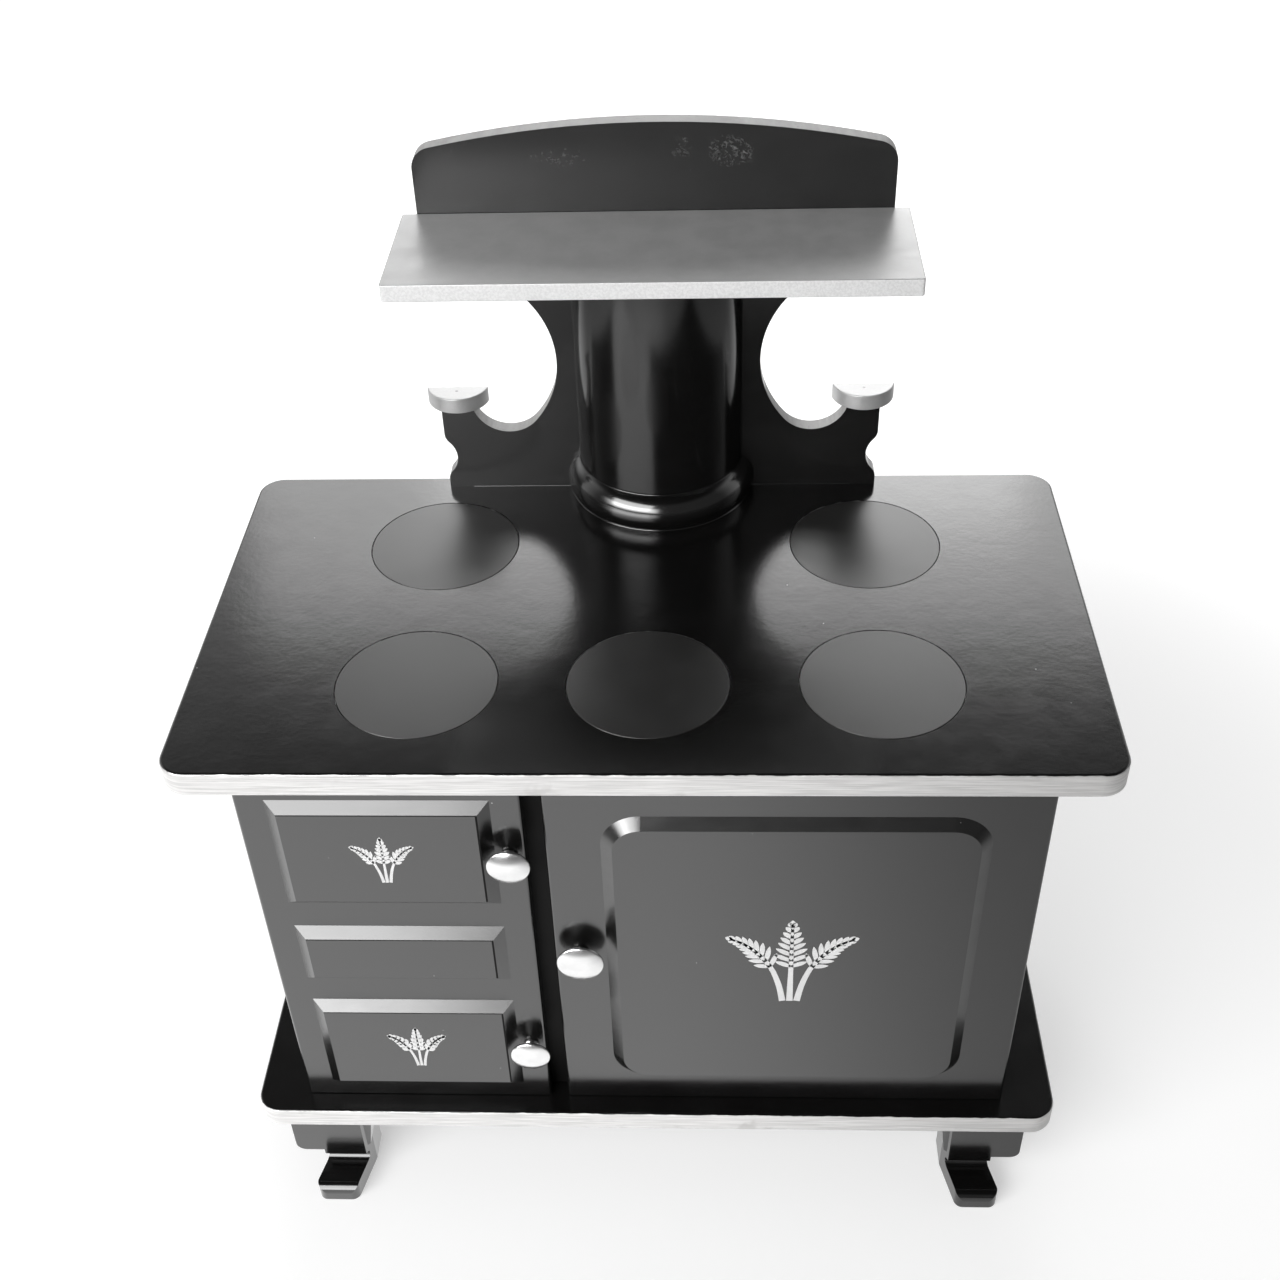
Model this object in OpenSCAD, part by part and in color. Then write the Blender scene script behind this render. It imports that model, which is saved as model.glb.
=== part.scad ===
// Doll-size wooden cookstove: two hinged doors under a five-plate worktop, and a
// scroll-sawn backboard that carries a half-round flue, a warming shelf and two corner shelves.
// Millimetres. Front is -Y, +Z is up, origin on the floor under the middle of the worktop.

/* [Worktop and base] */
// Width of the worktop and of the base
worktop_w = 406; // [380:1:440]
// Depth of the worktop and of the base
worktop_d = 221; // [205:1:245]
// Thickness of the worktop
worktop_t = 12.7; // [11:0.1:16]
// Thickness of the base
base_t = 12.7; // [11:0.1:16]
// Radius of the plan corners of the worktop and the base
board_corner_r = 12; // [6:1:20]
// Radius that eases the long edges of the worktop and the base
board_ease = 1.2; // [0.5:0.1:2]

/* [Cabinet] */
// How far the worktop stands out beyond each side
end_overhang = 26.25; // [22:0.25:34]
// Height between the base and the worktop
cabinet_h = 226.5; // [205:0.5:250]
// Thickness of the sides and the divider
panel_t = 12.7; // [10:0.1:15]
// Thickness of the back panel
back_t = 5; // [3:0.5:8]
// Width of the rebate that takes the back panel
rebate_w = 6; // [4:0.5:8]
// How far the worktop stands out in front of the doors
front_overhang = 10.8; // [9:0.1:16]
// How far the worktop stands out behind the cabinet
back_overhang = 11; // [10:0.5:16]

/* [Doors] */
// Width of the left door
left_door_w = 125; // [110:1:140]
// Gap between the two doors
between_doors = 8.7; // [7:0.1:10]
// Thickness of a door at its border
door_t = 8; // [7:0.1:9]
// How far a raised field stands proud of the border
raise = 4; // [2:0.1:4.5]
// Width of the bevel round a raised field
bevel_w = 5.2; // [3:0.1:7]
// Clearance above and below a door
door_end_gap = 0.6; // [0.4:0.1:1.2]
// Clearance between a closed door and the cabinet
door_back_gap = 0.5; // [0.4:0.1:0.8]
// Radius that eases the front edges of a door
door_ease = 1.5; // [0.8:0.1:2]
// Height of a door for which the heights on the left door are given
drawn_door_h = 225.3; // [215:0.1:235]
// Border left and right of the three fields of the left door
left_field_margin = 13.5; // [10:0.5:20]
// Border above the top field of the left door
left_field_top = 12.5; // [9:0.5:16]
// Height of the top and bottom fields of the left door
tall_field_h = 66; // [58:1:67]
// Height of the middle field of the left door
short_field_h = 38; // [30:1:39]
// Border between the fields of the left door
field_gap = 16; // [10:0.5:17]
// Border left and right of the oven field
oven_field_margin = 24.5; // [20:0.5:32]
// Border above the oven field
oven_field_top = 22; // [16:0.5:30]
// Border below the oven field
oven_field_bottom = 18; // [14:0.5:26]
// Corner radius of the oven field
oven_field_r = 18; // [10:0.5:26]

/* [Hinge pins and catches] */
// Diameter of a hinge pin
pin_d = 3; // [2:0.1:3.6]
// Depth of a hinge pin in the door
pin_in_door = 11; // [8:0.5:16]
// Depth of a hinge pin in the base or the worktop
pin_in_board = 8; // [6:0.5:9]
// Radial running clearance of a hinge pin
pin_gap = 0.06; // [0.04:0.01:0.1]
// Length of a magnetic catch
catch_l = 22; // [16:1:30]
// Depth of a magnetic catch
catch_d = 12; // [9:0.5:16]
// Height of a magnetic catch
catch_h = 9; // [7:0.5:12]
// Space between a catch and the divider
catch_inset = 5; // [4:0.5:10]
// Thickness of a strike plate
strike_t = 0.8; // [0.6:0.1:1]
// Clearance between a strike plate and its catch
strike_gap = 0.3; // [0.2:0.1:0.5]

/* [Knobs] */
// Diameter of the knobs of the left door
knob_d = 19.6; // [15:0.2:21]
// Diameter of the oven knob
oven_knob_d = 22; // [15:0.2:24]
// Distance from the door to the rim of a knob
knob_rim_out = 7.2; // [6.5:0.1:9.5]
// Height of the dome in front of the rim
knob_dome = 3.2; // [2.5:0.1:5]
// Height of the rounded shoulder behind the rim
knob_back = 4.6; // [3:0.1:5]
// Diameter of the neck of a knob
knob_neck_d = 6; // [5.6:0.1:8]
// Distance from the knobs of the left door to its free edge
knob_inset = 7.2; // [6.5:0.1:10]
// How far the knobs of the left door sit below the middle of their fields
knob_drop = 1; // [-6:0.5:6]
// Distance from the oven knob to the free edge of its door
oven_knob_inset = 12.4; // [7:0.1:14]
// Height of the oven knob above the middle of its door
oven_knob_rise = 1; // [-30:1:30]

/* [Oven shelf] */
// Height of the oven shelf above the base
rack_z = 104; // [70:1:140]
// Thickness of the oven shelf
rack_t = 6; // [4:0.5:8]
// Clearance at each end of the oven shelf
rack_gap = 0.4; // [0.2:0.1:1]
// Depth of the oven shelf
rack_d = 160; // [120:1:170]
// Width and height of a shelf cleat
cleat_s = 8; // [6:0.5:10]
// Length of a shelf cleat
cleat_l = 140; // [90:1:150]

/* [Cooking plates] */
// Diameter of a cooking plate
plate_d = 72; // [56:0.5:78]
// Thickness of a cooking plate
plate_t = 3; // [2:0.5:5]
// Width of the fine groove round a cooking plate
plate_gap = 0.4; // [0.3:0.05:0.8]
// Distance between the plates of the front row
plate_pitch = 102.5; // [88:0.5:110]
// Distance from the front edge to the front row
front_row_y = 58; // [48:0.5:64]
// Distance from the front row to the back row
row_pitch = 103.5; // [88:0.5:108]
// How far the plates stand to the right of the middle
plates_x = 2.5; // [-5:0.5:5]

/* [Backboard] */
// Width of the backboard
backboard_w = 217.5; // [216:0.5:232]
// Height of the backboard at the top of its arch
backboard_h = 191; // [182:1:215]
// Thickness of the backboard
backboard_t = 8; // [6:0.5:10]
// How much the arch drops at the sides
arch_drop = 12; // [8:0.5:18]
// Radius of the corners of the arch
arch_corner_r = 10; // [4:0.5:12]
// How far the backboard stands to the right of the middle
stack_x = 5; // [-8:0.5:8]
// Radius of the large arc of a side opening
side_cut_r = 51; // [46:0.5:53]
// Distance from the middle of the backboard to the centre of the large arc
side_cut_x = 100.5; // [98:0.5:103]
// Height of the centre of the large arc
side_cut_z = 72.3; // [71:0.1:76]
// Radius of the small arc at the foot of a side opening
lobe_r = 18; // [15:0.5:19]
// Angle below level at which the small arc joins the large one
lobe_angle = 40.6; // [38:0.1:43]
// Height of the horn that carries a corner shelf
horn_h = 46; // [44:0.5:48]
// Radius of the hollow in the foot of the backboard
hollow_r = 12.5; // [10:0.5:13.5]
// Depth of that hollow
hollow_d = 5.4; // [3:0.1:6]
// Height of the middle of that hollow
hollow_z = 18; // [17:0.5:19]
// Radius of the rounds above and below that hollow
hollow_round_r = 7; // [4:0.5:8]

/* [Shelves] */
// Height of the underside of the warming shelf above the worktop
shelf_z = 141.7; // [132:0.1:150]
// Width of the warming shelf
shelf_w = 231; // [200:1:250]
// Depth of the warming shelf
shelf_d = 70.5; // [55:0.5:90]
// Thickness of the warming shelf
shelf_t = 8; // [6:0.5:10]
// Radius of a half-round corner shelf
corner_shelf_r = 15.5; // [13:0.5:18]
// How far the centre of a corner shelf lies behind the backboard
corner_shelf_sink = 3; // [0:0.5:4]
// Thickness of a corner shelf
corner_shelf_t = 8; // [6:0.5:10]

/* [Flue] */
// Radius of the flue
flue_r = 41; // [34:0.5:42]
// How far the axis of the flue lies behind the face of the backboard
flue_sink = 5.5; // [2:0.5:8]
// Width of the collar beyond the flue
collar_w = 6.5; // [4:0.5:8]
// Height of the collar
collar_h = 18; // [13:0.5:24]
// Height of the widest place of the collar
collar_belly_z = 6.5; // [4:0.5:8]
// Clearance between the collar and the flue
collar_gap = 0.15; // [0.1:0.05:0.3]

/* [Legs] */
// Height of the legs
leg_h = 55; // [51:1:66]
// Width of the knee of a leg
knee_w = 42.5; // [36:0.5:48]
// Depth of the knee of a leg
knee_d = 34; // [28:0.5:38]
// Height of the knee of a leg
knee_h = 34; // [30:0.5:35]
// How far the knee stands in from the end of the base
knee_inset = 12.5; // [9:0.5:22]
// How far the knee stands back from the edge of the base
knee_setback = 8; // [4:0.5:12]
// Taper of the inner cheek of the knee
knee_taper = 4; // [2:0.5:6]
// Radius of the inner front corner of the knee
knee_round_r = 14; // [6:0.5:16]
// Radius of the outer lower corner of the knee
knee_corner_r = 5; // [2:0.5:8]
// Width of the foot and the ankle
foot_w = 22; // [17:0.5:26]
// How far the toe turns outwards
toe_turn = 5; // [0:0.5:8]
// How far the toe reaches out past the edge of the base
toe_out = 8.5; // [6:0.5:12]
// Thickness of the toe
toe_t = 10.5; // [8:0.5:11]
// Radius of the corners of the toe
toe_round_r = 4.5; // [2:0.5:6]
// Radius of the cove between the toe and the knee
cove_r = 3.4; // [2.5:0.1:4]
// Depth of the hollow behind the ankle
heel_hollow = 11; // [6:0.5:12]
// Radius of the hollow behind the ankle
heel_r = 19; // [16:0.5:24]

/* [Fasteners] */
// Diameter of a wood screw
screw_d = 3; // [2.4:0.1:3.5]
// Diameter of a countersunk head
screw_head_d = 6; // [5:0.1:7]
// Diameter of a dowel
dowel_d = 6; // [5:0.5:7]
// Diameter of a nail
nail_d = 1.4; // [1:0.1:1.8]
// Clearance round a fastener
fastener_gap = 0.05; // [0.03:0.01:0.1]

/* [Hidden] */
$fn = 64;
cut = 1;                 // how far a cutting shape runs past the face it cuts
bite = 0.003;            // how far two rounds that meet run into each other
base_top = leg_h + base_t;
under_worktop = base_top + cabinet_h;
worktop_top = under_worktop + worktop_t;
front_edge = -worktop_d / 2;
back_edge = worktop_d / 2;

// Doors, from the front edge of the worktop back to the cabinet
door_face_y = front_edge + front_overhang;
door_back_y = door_face_y + door_t;
cabinet_front = door_back_y + door_back_gap;
cabinet_back = back_edge - back_overhang;
door_h = cabinet_h - 2 * door_end_gap;
door_z = base_top + door_end_gap;
body_w = worktop_w - 2 * end_overhang;
left_x = -body_w / 2;
right_x = body_w / 2;
oven_door_w = body_w - left_door_w - between_doors;
divider_x = left_x + left_door_w + between_doors / 2;
back_panel_front = cabinet_back - back_t;
hinge_y = door_back_y - door_t / 2;
hinge_inset = door_t / 2;
left_hinge_x = left_x + hinge_inset;
right_hinge_x = right_x - hinge_inset;

// The oven chamber and what hangs in it
oven_left = divider_x + panel_t / 2;
oven_right = right_x - panel_t;
rack_back = back_panel_front - rack_gap;
strike_h = catch_h - 1;
catch_front = door_back_y + strike_t + strike_gap;
left_catch_x = divider_x - panel_t / 2 - catch_inset - catch_l / 2;
oven_catch_x = oven_left + catch_inset + catch_l / 2;

// Knobs
left_knob_x = left_x + left_door_w - knob_inset;
oven_knob_x = right_x - oven_door_w + oven_knob_inset;
on_door = door_h / drawn_door_h;
top_field_z = door_z + door_h - on_door * (left_field_top + tall_field_h / 2);
bottom_field_z = top_field_z - on_door * (tall_field_h + short_field_h + 2 * field_gap);
middle_field_z = (top_field_z + bottom_field_z) / 2;
upper_knob_z = top_field_z - knob_drop;
lower_knob_z = bottom_field_z - knob_drop;
oven_knob_z = door_z + door_h / 2 + oven_knob_rise;
knob_screw_in = 7;

// Backboard and what it carries
board_face_y = back_edge - backboard_t;
flue_y = board_face_y + flue_sink;
lobe_x = side_cut_x - (side_cut_r - lobe_r) * cos(lobe_angle);
lobe_z = side_cut_z - (side_cut_r - lobe_r) * sin(lobe_angle);
lip_x = lobe_x + sqrt(pow(lobe_r, 2) - pow(horn_h - lobe_z, 2));
horn_x = (lip_x + backboard_w / 2) / 2;
arch_r = (pow(backboard_w / 2, 2) + pow(arch_drop, 2)) / (2 * arch_drop);

// Legs
ankle_back = 9;
knee_bottom = leg_h - knee_h;
cove_top = toe_t + 2 * cove_r;
knee_x = worktop_w / 2 - knee_inset - knee_w / 2;
ankle_x = knee_taper - knee_w / 2 + foot_w / 2;
ankle_y = knee_setback + ankle_back;

// Fasteners
dowel_in_board = 8;
dowel_in_panel = 14;
leg_dowel_in_leg = 22;
dowel_in_base = base_t - 4;
base_screw_up = 18;
rear_screw_in = 16;
front_fix_in = 28;
rear_fix_in = 38;
low_screw_up = 12;
high_screw_down = 26;
back_nail_in = 14;
stack_screw_up = 20;
nail_l = 16;
screw_head_h = 2.2;
panel_xs = [left_x + panel_t / 2, divider_x, right_x - panel_t / 2];
panel_fix_ys = [cabinet_front + front_fix_in, cabinet_back - rear_fix_in];
plate_names = ["front_left", "front_middle", "front_right", "back_left", "back_right"];
plate_places = [
    [plates_x - plate_pitch, front_edge + front_row_y],
    [plates_x, front_edge + front_row_y],
    [plates_x + plate_pitch, front_edge + front_row_y],
    [plates_x - plate_pitch, front_edge + front_row_y + row_pitch],
    [plates_x + plate_pitch, front_edge + front_row_y + row_pitch]
];
leg_signs = [[-1, -1], [1, -1], [-1, 1], [1, 1]];
shelf_screw_xs = [-backboard_w * 0.36, 0, backboard_w * 0.36];
stack_screw_xs = [-backboard_w * 0.36, 0, backboard_w * 0.36];
flue_screw_zs = [collar_h + low_screw_up, shelf_z - high_screw_down];

// ---------- shared forms ----------

// A board's cross-section, w wide and t thick from z = 0, with eased corners
module eased_profile(w, t, ease) {
    translate([-w / 2, ease]) square([w, t - 2 * ease]);
    translate([-w / 2 + ease, 0]) square([w - 2 * ease, t]);
    for (x = [-1, 1], y = [ease, t - ease]) translate([x * (w / 2 - ease), y]) circle(ease);
}

// Half such a cross-section, from x = 0 out to its eased edge
module eased_edge(reach, t, ease) {
    square([reach - ease, t]);
    translate([0, ease]) square([reach, t - 2 * ease]);
    for (y = [ease, t - ease]) translate([reach - ease, y]) circle(ease);
}

// A flat board with round plan corners and eased edges, centred in plan
module eased_board(w, d, t, corner_r, ease) {
    rotate([90, 0, 90])
        linear_extrude(w - 2 * corner_r, center = true) eased_profile(d, t, ease);
    for (x = [0, 1]) mirror([x, 0, 0]) translate([w / 2 - corner_r, 0, 0]) {
        rotate([90, 0, 0])
            linear_extrude(d - 2 * corner_r, center = true) eased_edge(corner_r, t, ease);
        for (y = [0, 1]) mirror([0, y, 0]) translate([0, d / 2 - corner_r, 0])
            rotate_extrude(angle = 90) eased_edge(corner_r, t, ease);
    }
}

// Screw pointing up, its countersunk head at z = 0
module screw(len, gap = 0) {
    cylinder(h = len + gap, d = screw_d + 2 * gap);
    cylinder(h = screw_head_h, d1 = screw_head_d + 2 * gap, d2 = screw_d + 2 * gap);
}

// The hole for such a screw, open at the head
module screw_hole(len) {
    wider = cut * (screw_head_d - screw_d) / screw_head_h;
    cylinder(h = len + fastener_gap, d = screw_d + 2 * fastener_gap);
    translate([0, 0, -cut])
        cylinder(h = cut + screw_head_h, d1 = screw_head_d + wider + 2 * fastener_gap,
            d2 = screw_d + 2 * fastener_gap);
}

// Dowel that stands below z = 0 by down and above it by up
module dowel(down, up, gap = 0) {
    translate([0, 0, -down - gap]) cylinder(h = down + up + 2 * gap, d = dowel_d + 2 * gap);
}

// Hinge pin that stands below z = 0 by down and above it by up
module pin(down, up, gap = 0) {
    translate([0, 0, -down - gap]) cylinder(h = down + up + 2 * gap, d = pin_d + 2 * gap);
}

// Both hinge pins of a door, the lower one in the base and the upper one in the worktop
module hinge_pins(x, gap = 0) {
    translate([x, hinge_y, base_top]) pin(pin_in_board, door_end_gap + pin_in_door, gap);
    translate([x, hinge_y, under_worktop]) pin(door_end_gap + pin_in_door, pin_in_board, gap);
}

// ---------- where the fasteners go: the same places cut the holes and set the pieces ----------

module at_leg_dowels()
    for (s = leg_signs)
        translate([s[0] * (knee_x + ankle_x), s[1] * (worktop_d / 2 - knee_setback - knee_d / 2), leg_h])
            children();

module at_base_screws()
    for (x = panel_xs, y = panel_fix_ys) translate([x, y, leg_h]) children();

module at_worktop_dowels()
    for (x = panel_xs, y = panel_fix_ys) translate([x, y, under_worktop]) children();

module at_backboard_screws()
    for (x = stack_screw_xs) translate([stack_x + x, back_edge - backboard_t / 2, under_worktop]) children();

module at_shelf_screws()
    for (x = shelf_screw_xs)
        translate([stack_x + x, back_edge, worktop_top + shelf_z + shelf_t / 2]) rotate([90, 0, 0]) children();

module at_flue_screws()
    for (z = flue_screw_zs) translate([stack_x, back_edge, worktop_top + z]) rotate([90, 0, 0]) children();

module at_back_nails()
    for (x = [left_x + panel_t - rebate_w / 2, divider_x, right_x - panel_t + rebate_w / 2],
            z = [base_top + back_nail_in, base_top + cabinet_h / 2, under_worktop - back_nail_in])
        translate([x, cabinet_back, z]) rotate([90, 0, 0]) children();

module at_corner_shelf_nails()
    for (s = [-1, 1])
        translate([stack_x + s * horn_x, back_edge - backboard_t / 2,
            worktop_top + horn_h + corner_shelf_t]) rotate([180, 0, 0]) children();

// ---------- carcass ----------

module base() {
    color("#161616") difference() {
        translate([0, 0, leg_h]) eased_board(worktop_w, worktop_d, base_t, board_corner_r, board_ease);
        at_leg_dowels() dowel(cut, dowel_in_base, fastener_gap);
        at_base_screws() screw_hole(base_t + cut);
        hinge_pins(left_hinge_x, pin_gap);
        hinge_pins(right_hinge_x, pin_gap);
    }
}

// A standing panel, its left face at x
module standing_panel(x) {
    translate([x, cabinet_front, base_top]) cube([panel_t, cabinet_back - cabinet_front, cabinet_h]);
}

module panel_holes() {
    at_base_screws() screw_hole(base_t + base_screw_up);
    at_worktop_dowels() dowel(dowel_in_panel, cut, fastener_gap);
    at_back_nails() nail(fastener_gap);
}

// The back panel's room, in the rebates of the sides
module back_panel_room(gap = 0) {
    translate([left_x + panel_t - rebate_w - gap, back_panel_front - gap, base_top - gap])
        cube([body_w - 2 * (panel_t - rebate_w) + 2 * gap, back_t + 2 * gap, cabinet_h + 2 * gap]);
}

module left_side() {
    color("#161616") difference() {
        standing_panel(left_x);
        back_panel_room(fastener_gap);
        panel_holes();
    }
}

module right_side() {
    color("#161616") difference() {
        standing_panel(right_x - panel_t);
        back_panel_room(fastener_gap);
        panel_holes();
    }
}

module divider() {
    color("#161616") difference() {
        standing_panel(divider_x - panel_t / 2);
        back_panel_room(fastener_gap);
        panel_holes();
    }
}

module nail(gap = 0) {
    translate([0, 0, -gap]) cylinder(h = nail_l + 2 * gap, d = nail_d + 2 * gap);
}

module back_panel() {
    color("#1c1b1a") difference() {
        back_panel_room();
        at_back_nails() translate([0, 0, -cut]) cylinder(h = nail_l + 2 * cut, d = nail_d + 2 * fastener_gap);
    }
}

// ---------- worktop and its cooking plates ----------

module worktop() {
    color("#161616") difference() {
        translate([0, 0, under_worktop])
            eased_board(worktop_w, worktop_d, worktop_t, board_corner_r, board_ease);
        for (p = plate_places)
            translate([p[0], p[1], worktop_top - plate_t])
                cylinder(h = plate_t + cut, d = plate_d + 2 * plate_gap);
        at_worktop_dowels() dowel(cut, dowel_in_board, fastener_gap);
        at_backboard_screws() screw_hole(worktop_t + cut);
        hinge_pins(left_hinge_x, pin_gap);
        hinge_pins(right_hinge_x, pin_gap);
    }
}

// One round plate, flush with the worktop, its rim eased by half the groove
module cooking_plate(i) {
    ease = plate_gap / 2;
    color("#1d1d1d") translate([plate_places[i][0], plate_places[i][1], worktop_top - plate_t]) {
        cylinder(h = plate_t - ease, d = plate_d);
        translate([0, 0, plate_t - ease]) cylinder(h = ease, d1 = plate_d, d2 = plate_d - 2 * ease);
    }
}

// ---------- doors ----------

// Plan outline of a door that is hinged at its left edge: x from the hinged edge, y from the
// front face. Its rear hinged corner is round about the pin, so that it clears the cabinet.
module door_plan(w) {
    e = door_ease;
    translate([e, 0]) square([w - 2 * e, door_t - hinge_inset]);
    translate([0, e]) square([w, door_t - hinge_inset - e]);
    translate([hinge_inset, e]) square([w - hinge_inset, door_t - e]);
    for (x = [e, w - e]) translate([x, e]) circle(e);
    translate([hinge_inset, door_t - hinge_inset]) circle(hinge_inset);
}

// Raised field with mitred corners, standing on z = 0, centred
module mitred_field(w, h) {
    intersection() {
        rotate([90, 0, 0]) linear_extrude(h, center = true) field_profile(w);
        rotate([90, 0, 90]) linear_extrude(w, center = true) field_profile(h);
    }
}

// Cross-section of a raised field, w wide at its foot
module field_profile(w) {
    polygon([[-w / 2, -cut], [-w / 2, 0], [bevel_w - w / 2, raise], [w / 2 - bevel_w, raise], [w / 2, 0],
        [w / 2, -cut]]);
}

// Raised field with round corners: straight bevels and a cone at each corner
module round_field(w, h, r) {
    rotate([90, 0, 0]) linear_extrude(h - 2 * r, center = true) field_profile(w);
    rotate([90, 0, 90]) linear_extrude(w - 2 * r, center = true) field_profile(h);
    for (x = [-1, 1], y = [-1, 1])
        translate([x * (w / 2 - r), y * (h / 2 - r), 0])
            rotate_extrude() polygon([[0, -cut], [r, -cut], [r, 0], [r - bevel_w, raise], [0, raise]]);
}

// Stands a shape up on the face of a door, centred at x and z, its +Z pointing out of the door
module on_door_face(x, z) {
    translate([x, door_face_y, z]) rotate([90, 0, 0]) children();
}

module knob_screw_at(x, z, hole = false) {
    translate([x, door_back_y, z]) rotate([90, 0, 0])
        if (hole) screw_hole(door_t + knob_screw_in);
        else screw(door_t + knob_screw_in);
}

module at_strike(x) {
    translate([x, door_back_y, under_worktop - 1 - strike_h]) children();
}

module left_door() {
    w = left_door_w - 2 * left_field_margin;
    x = left_x + left_door_w / 2;
    color("#171717") difference() {
        union() {
            translate([left_x, door_face_y, door_z]) linear_extrude(door_h) door_plan(left_door_w);
            on_door_face(x, top_field_z) mitred_field(w, on_door * tall_field_h);
            on_door_face(x, middle_field_z) mitred_field(w, on_door * short_field_h);
            on_door_face(x, bottom_field_z) mitred_field(w, on_door * tall_field_h);
        }
        hinge_pins(left_hinge_x, pin_gap);
        knob_screw_at(left_knob_x, upper_knob_z, hole = true);
        knob_screw_at(left_knob_x, lower_knob_z, hole = true);
    }
}

module oven_door() {
    w = oven_door_w - 2 * oven_field_margin;
    h = door_h - oven_field_top - oven_field_bottom;
    color("#171717") difference() {
        union() {
            translate([right_x, door_face_y, door_z])
                linear_extrude(door_h) mirror([1, 0]) door_plan(oven_door_w);
            on_door_face(right_x - oven_door_w / 2, door_z + oven_field_bottom + h / 2)
                round_field(w, h, oven_field_r);
        }
        hinge_pins(right_hinge_x, pin_gap);
        knob_screw_at(oven_knob_x, oven_knob_z, hole = true);
    }
}

// Turned knob on +Z: a foot, a neck with a bead, a round shoulder and a low dome
module knob(d) {
    r = d / 2;
    rim_r = 0.9;
    tip = r - rim_r / 2;
    crown = knob_dome + 0.01;
    dome_r = (tip * tip + crown * crown) / (2 * crown);
    back_r = (tip * tip + knob_back * knob_back) / (2 * knob_back);
    difference() {
        rotate_extrude() intersection() {
            union() {
                square([knob_neck_d / 2, knob_rim_out]);
                translate([knob_neck_d / 2, 0.9]) circle(0.9);
                intersection() {
                    translate([0, knob_rim_out + crown - dome_r]) circle(dome_r);
                    translate([0, knob_rim_out - knob_back + back_r]) circle(back_r);
                }
                translate([r - rim_r, knob_rim_out]) circle(rim_r);
            }
            square([r + 1, knob_rim_out + knob_dome]);
        }
        translate([0, 0, -cut])
            cylinder(h = cut + knob_screw_in + fastener_gap, d = screw_d + 2 * fastener_gap);
    }
}

module upper_knob() { color("silver") on_door_face(left_knob_x, upper_knob_z) knob(knob_d); }
module lower_knob() { color("silver") on_door_face(left_knob_x, lower_knob_z) knob(knob_d); }
module oven_knob() { color("silver") on_door_face(oven_knob_x, oven_knob_z) knob(oven_knob_d); }

module left_knob_screws() {
    color("gray") {
        knob_screw_at(left_knob_x, upper_knob_z);
        knob_screw_at(left_knob_x, lower_knob_z);
    }
}

module oven_knob_screw() { color("gray") knob_screw_at(oven_knob_x, oven_knob_z); }

module left_hinge_pins() { color("gray") hinge_pins(left_hinge_x); }
module oven_hinge_pins() { color("gray") hinge_pins(right_hinge_x); }

// ---------- catches ----------

// Magnetic catch under the worktop: a case with two steel lips in front
module catch(x) {
    lip = 0.5;
    translate([x - catch_l / 2, catch_front + lip, under_worktop - catch_h])
        cube([catch_l, catch_d - lip, catch_h]);
    for (z = [2, catch_h - 3])
        translate([x - catch_l / 2 + 2, catch_front, under_worktop - catch_h + z])
            cube([catch_l - 4, catch_d / 2, 1]);
}

module strike(x) {
    at_strike(x) translate([-catch_l / 2, 0, 0]) cube([catch_l, strike_t, strike_h]);
}

module left_catch() { color("#202020") catch(left_catch_x); }
module oven_catch() { color("#202020") catch(oven_catch_x); }
module left_strike() { color("silver") strike(left_catch_x); }
module oven_strike() { color("silver") strike(oven_catch_x); }

// ---------- oven shelf ----------

module oven_shelf() {
    color("#c9a878")
        translate([oven_left + rack_gap, rack_back - rack_d, base_top + rack_z])
            cube([oven_right - oven_left - 2 * rack_gap, rack_d, rack_t]);
}

// One cleat against each wall of the oven chamber
module shelf_cleats() {
    y = rack_back - (rack_d + cleat_l) / 2;
    color("#c9a878") {
        translate([oven_left, y, base_top + rack_z - cleat_s]) cube([cleat_s, cleat_l, cleat_s]);
        translate([oven_right - cleat_s, y, base_top + rack_z - cleat_s]) cube([cleat_s, cleat_l, cleat_s]);
    }
}

// ---------- backboard and what it carries ----------

// One side opening, drawn for the right side: a large arc that runs into a small one
module side_opening() {
    reach = 2 * side_cut_r;
    c = cos(lobe_angle);
    s = sin(lobe_angle);
    t = (side_cut_z - horn_h) / s;
    translate([lobe_x, lobe_z]) circle(lobe_r);
    intersection() {
        translate([side_cut_x, side_cut_z]) circle(side_cut_r);
        polygon([
            [side_cut_x - t * c, horn_h],
            [side_cut_x - reach * c, side_cut_z - reach * s],
            [side_cut_x - reach, side_cut_z],
            [side_cut_x - reach, side_cut_z + reach],
            [side_cut_x + reach, side_cut_z + reach],
            [side_cut_x + reach, horn_h]
        ]);
    }
}

// Hollow in the foot of the backboard with a round above and below it, drawn for the right side
module foot_hollow() {
    edge = backboard_w / 2;
    cx = edge - hollow_d + hollow_r;
    dx = cx - edge + hollow_round_r;
    dz = sqrt(pow(hollow_r + hollow_round_r - bite, 2) - dx * dx);
    meet_x = cx - dx * hollow_r / (hollow_r + hollow_round_r);
    translate([cx, hollow_z]) circle(hollow_r);
    difference() {
        translate([meet_x, hollow_z - dz]) square([edge - meet_x + cut, 2 * dz]);
        for (z = [-dz, dz]) translate([edge - hollow_round_r, hollow_z + z]) circle(hollow_round_r);
    }
}

// Corner of the arch outside its round, drawn for the right side
module arch_corner() {
    r = arch_corner_r;
    edge = backboard_w / 2;
    arch_z = backboard_h - arch_r;
    x = edge - r;
    z = arch_z + sqrt(pow(arch_r - r, 2) - x * x);
    meet_x = x * arch_r / (arch_r - r);
    difference() {
        translate([meet_x, z]) square([edge - meet_x + cut, 2 * r + arch_drop]);
        translate([x, z]) circle(r);
    }
}

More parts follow.
